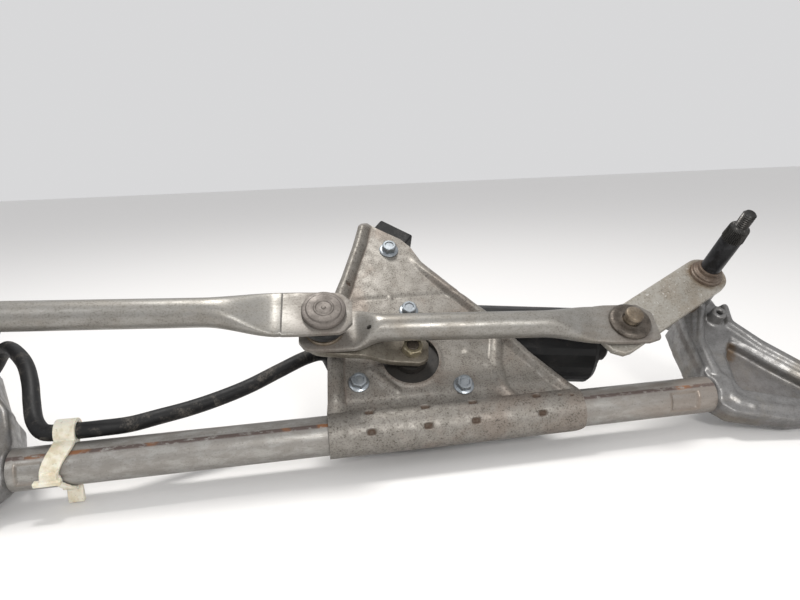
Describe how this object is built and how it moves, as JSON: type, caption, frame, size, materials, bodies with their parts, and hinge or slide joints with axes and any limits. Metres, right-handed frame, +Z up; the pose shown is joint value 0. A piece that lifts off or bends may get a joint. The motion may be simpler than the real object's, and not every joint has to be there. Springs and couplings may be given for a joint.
{
  "type": "windshield wiper linkage with motor",
  "caption": "Windshield wiper assembly: a tube frame with cast pivot housings, a pressed motor bracket, a worm-gear motor and a crank that drives two rods, levers and spindles.",
  "frame": {"origin": "bottom centre of the assembly as it lies on a table, measured without the free lead and its plug", "axes": "+X along the frame tube towards the motor's side, +Y towards the back, +Z up; the motor bracket's plate leans back 39 degrees"},
  "size_m": [0.7675, 0.1788, 0.1917],
  "materials": {
    "galvanised": "weathered galvanised sheet",
    "cast_aluminium": "die-cast, dull and stained",
    "zinc": "bluish zinc plate",
    "dark_steel": "black and greasy",
    "brown_steel": "brown, greasy",
    "black_plastic": "moulded",
    "rubber": "moulded",
    "clip_plastic": "yellowed white",
    "can_paint": "black paint, satin",
    "bronze": "sintered",
    "copper": "wound and machined copper",
    "ferrite": "dark, unfinished",
    "gear_nylon": "natural nylon",
    "sheath": "braided and dusty"
  },
  "bodies": {
    "frame": {"frame_tube": "galvanised", "motor_bracket": "galvanised", "left_pivot_housing": "cast_aluminium", "right_pivot_housing": "cast_aluminium", "left_upper_bush": "bronze", "left_lower_bush": "bronze", "right_upper_bush": "bronze", "right_lower_bush": "bronze", "left_mount_grommet": "rubber", "left_mount_sleeve": "zinc", "right_mount_grommet": "rubber", "right_mount_sleeve": "zinc", "gearbox_bolt_1": "zinc", "gearbox_bolt_2": "zinc", "gearbox_bolt_3": "zinc", "upper_mount_block": "rubber", "apex_bolt": "zinc", "gear_housing": "cast_aluminium", "output_bush": "bronze", "gear_cover": "black_plastic", "motor_can": "can_paint", "upper_magnet": "ferrite", "lower_magnet": "ferrite", "brush_card": "black_plastic", "upper_brush": "ferrite", "lower_brush": "ferrite", "front_bearing": "bronze", "rear_bearing": "bronze", "cable_clip": "clip_plastic", "motor_lead": "sheath", "lead_tail": "sheath", "lead_plug": "black_plastic"},
    "armature": {"armature_shaft": "dark_steel", "armature_core": "ferrite", "armature_winding": "copper", "commutator": "copper"},
    "crank": {"crank_arm": "galvanised", "output_shaft": "dark_steel", "crank_nut": "zinc", "crank_pin": "dark_steel", "worm_wheel": "gear_nylon"},
    "left_rod": {"left_rod": "galvanised", "left_inner_socket": "black_plastic", "left_socket_cap": "brown_steel", "left_outer_bush": "brown_steel", "left_outer_stud": "dark_steel"},
    "right_rod": {"right_rod": "galvanised", "right_inner_socket": "brown_steel", "right_outer_bush": "brown_steel", "right_outer_stud": "dark_steel"},
    "left_spindle": {"left_lever": "galvanised", "left_spindle": "dark_steel", "left_thrust_washer": "zinc", "left_retaining_ring": "dark_steel"},
    "right_spindle": {"right_lever": "galvanised", "right_spindle": "dark_steel", "right_thrust_washer": "zinc", "right_retaining_ring": "dark_steel"}
  },
  "joints": [
    {"name": "armature_spin", "type": "hinge", "parent": "frame", "child": "armature", "pos_m": [0.03391, 0.01779, 0.06036], "axis": [0.9912, -0.1028, -0.0832], "range_deg": [0, 9000]},
    {"name": "crank_turn", "type": "hinge", "parent": "frame", "child": "crank", "pos_m": [0.02908, -0.02292, 0.05313], "axis": [0, -0.6293, 0.7771], "range_deg": [0, 180.01]},
    {"name": "right_rod_pivot", "type": "hinge", "parent": "crank", "child": "right_rod", "pos_m": [-0.02792, -0.03836, 0.08888], "axis": [0, -0.6293, 0.7771], "range_deg": [-186.74, 0]},
    {"name": "left_rod_pivot", "type": "hinge", "parent": "crank", "child": "left_rod", "pos_m": [-0.02792, -0.05025, 0.10357], "axis": [0, -0.6293, 0.7771], "range_deg": [-175.86, 0]},
    {"name": "right_spindle_turn", "type": "hinge", "parent": "frame", "child": "right_spindle", "pos_m": [0.25808, 0.00545, 0.0761], "axis": [0, -0.6293, 0.7771], "range_deg": [0, 82.55]},
    {"name": "left_spindle_turn", "type": "hinge", "parent": "frame", "child": "left_spindle", "pos_m": [-0.27092, 0.03459, 0.0997], "axis": [0, -0.6293, 0.7771], "range_deg": [0, 84.31]}
  ],
  "couplings": [
    {"joint": "crank_turn", "follows": "armature_spin", "ratio": 0.02},
    {"joint": "right_rod_pivot", "follows": "armature_spin", "ratio": -0.020748},
    {"joint": "left_rod_pivot", "follows": "armature_spin", "ratio": -0.019539},
    {"joint": "right_spindle_turn", "follows": "armature_spin", "ratio": 0.0091719},
    {"joint": "left_spindle_turn", "follows": "armature_spin", "ratio": 0.0093665}
  ]
}
